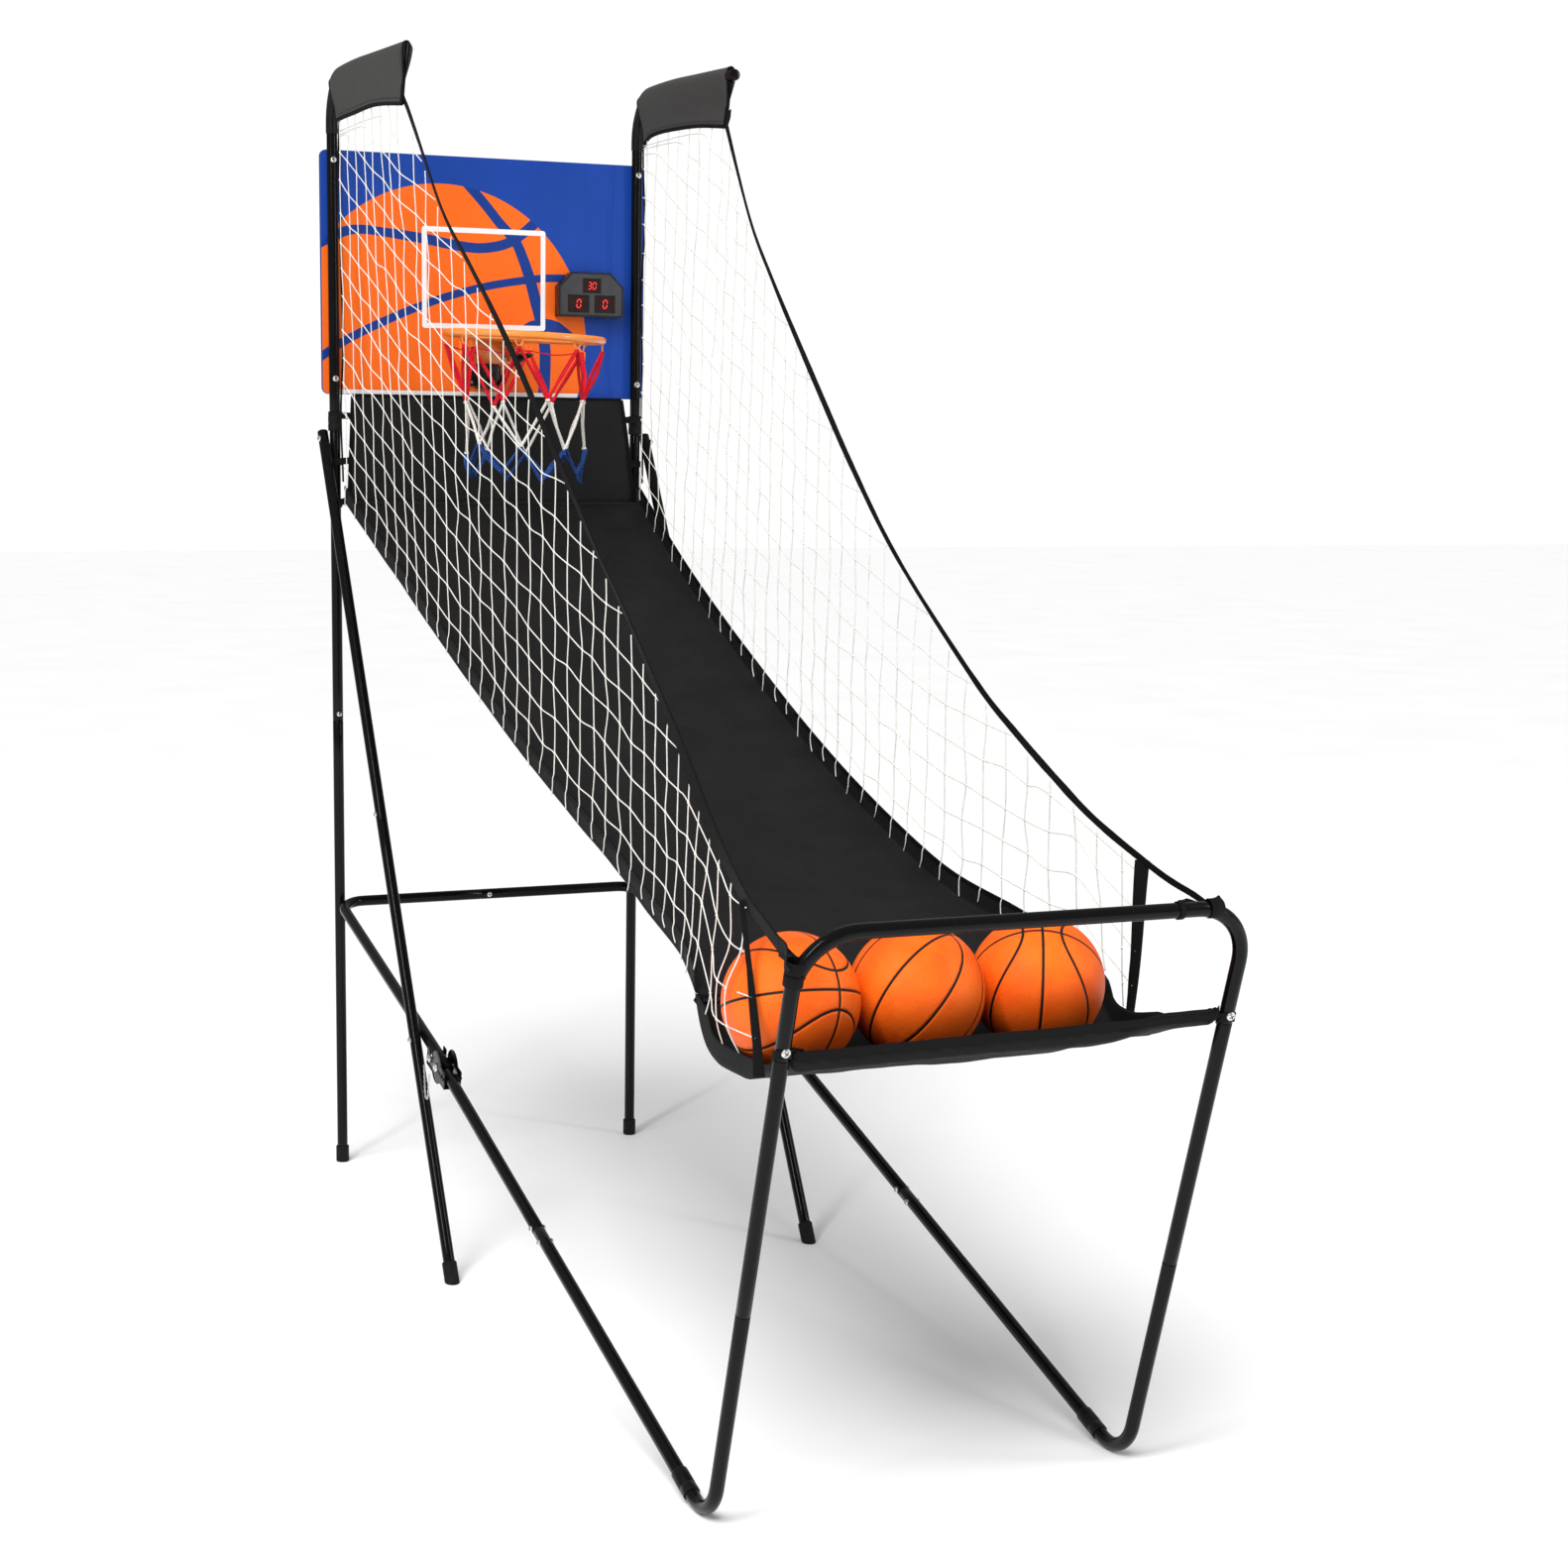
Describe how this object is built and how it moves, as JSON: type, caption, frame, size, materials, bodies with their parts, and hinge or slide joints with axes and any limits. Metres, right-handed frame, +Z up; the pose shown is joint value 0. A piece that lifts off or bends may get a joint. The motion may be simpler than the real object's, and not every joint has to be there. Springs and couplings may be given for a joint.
{
  "type": "basketball hoop machine",
  "caption": "Free-standing folding basketball lane: tubular frame, netted cloth ball return, backboard with hoop and scoreboard, and front tray with balls.",
  "frame": {"origin": "on the floor, at the middle of the machine's footprint", "axes": "+Z up, +Y from the player towards the backboard, +X to the player's right"},
  "size_m": [0.656, 2.059, 1.973],
  "materials": {
    "frame_tube": "gloss black enamel",
    "foot_rubber": "matt black",
    "zinc_fastener": "zinc plated",
    "lane_cloth": "black polyester",
    "flag_cloth": "dark grey nylon",
    "webbing": "black woven webbing",
    "side_netting": "white cord net",
    "hoop_netting": "red, white and blue cord",
    "board_panel": "printed panel",
    "rim_paint": "gloss orange",
    "black_plastic": "gloss black",
    "score_face": "dark grey satin",
    "ball_rubber": "pebbled orange"
  },
  "bodies": {
    "rear_frame": {"foot_cap_post_left": "foot_rubber", "foot_cap_brace_left": "foot_rubber", "post_collar_left": "foot_rubber", "post_lower_left": "frame_tube", "post_middle_left": "frame_tube", "post_upper_left": "frame_tube", "brace_lower_left": "frame_tube", "brace_upper_left": "frame_tube", "rear_bar_left": "frame_tube", "hinge_bolt_left": "zinc_fastener", "pin_chain_left": "zinc_fastener", "flag_left": "flag_cloth", "top_strap_left": "webbing", "side_net_left": "side_netting", "foot_cap_post_right": "foot_rubber", "foot_cap_brace_right": "foot_rubber", "post_collar_right": "foot_rubber", "post_lower_right": "frame_tube", "post_middle_right": "frame_tube", "post_upper_right": "frame_tube", "brace_lower_right": "frame_tube", "brace_upper_right": "frame_tube", "rear_bar_right": "frame_tube", "hinge_bolt_right": "zinc_fastener", "pin_chain_right": "zinc_fastener", "flag_right": "flag_cloth", "top_strap_right": "webbing", "side_net_right": "side_netting", "ramp": "lane_cloth", "back_panel": "lane_cloth", "backboard": "board_panel", "rim": "rim_paint", "hoop_net": "hoop_netting", "scoreboard_housing": "black_plastic", "sensor_box": "black_plastic", "scoreboard_face": "score_face"},
    "front_frame": {"fold_bracket_left": "frame_tube", "side_bar_rear_left": "frame_tube", "side_bar_front_left": "frame_tube", "floor_coupling_left": "foot_rubber", "floor_bend_left": "frame_tube", "front_leg_left": "frame_tube", "front_strap_left": "webbing", "fold_bracket_right": "frame_tube", "side_bar_rear_right": "frame_tube", "side_bar_front_right": "frame_tube", "floor_coupling_right": "foot_rubber", "floor_bend_right": "frame_tube", "front_leg_right": "frame_tube", "front_strap_right": "webbing", "front_loop": "frame_tube", "tray": "lane_cloth"},
    "lock_pin_left": {"lock_pin_left": "zinc_fastener"},
    "lock_pin_right": {"lock_pin_right": "zinc_fastener"},
    "sensor_paddle": {"sensor_paddle": "black_plastic"},
    "power_button": {"power_button": "black_plastic"},
    "battery_cover": {"battery_cover": "black_plastic"},
    "ball_left": {"ball_left": "ball_rubber"},
    "ball_middle": {"ball_middle": "ball_rubber"},
    "ball_right": {"ball_right": "ball_rubber"}
  },
  "joints": [
    {"name": "front_fold", "type": "hinge", "parent": "rear_frame", "child": "front_frame", "pos_m": [0, 0.33053, 0.3332], "axis": [-1, 0, 0], "range_deg": [0, 78], "deforming": ["side_net_left", "side_net_right", "top_strap_left", "top_strap_right"]},
    {"name": "lock_pin_left_pull", "type": "slide", "parent": "rear_frame", "child": "lock_pin_left", "axis": [-1, 0, 0], "range_m": [0, 0.045]},
    {"name": "lock_pin_right_pull", "type": "slide", "parent": "rear_frame", "child": "lock_pin_right", "axis": [1, 0, 0], "range_m": [0, 0.045]},
    {"name": "sensor_paddle_swing", "type": "hinge", "parent": "rear_frame", "child": "sensor_paddle", "pos_m": [-0.004, 0.99553, 1.441], "axis": [1, 0, 0], "range_deg": [0, 20], "stiffness_Nm_per_rad": 0.08, "springref_deg": -20.05},
    {"name": "power_button_press", "type": "slide", "parent": "rear_frame", "child": "power_button", "axis": [0, 0, 1], "range_m": [0, 0.002], "stiffness_N_per_m": 200, "springref_m": -0.002},
    {"name": "battery_cover_slide", "type": "slide", "parent": "rear_frame", "child": "battery_cover", "axis": [-1, 0, 0], "range_m": [0, 0.03]},
    {"name": "ball_left_lift", "type": "slide", "parent": "front_frame", "child": "ball_left", "axis": [0, 0, 1], "range_m": [0, 0.12]},
    {"name": "ball_middle_lift", "type": "slide", "parent": "front_frame", "child": "ball_middle", "axis": [0, 0, 1], "range_m": [0, 0.12]},
    {"name": "ball_right_lift", "type": "slide", "parent": "front_frame", "child": "ball_right", "axis": [0, 0, 1], "range_m": [0, 0.12]}
  ]
}
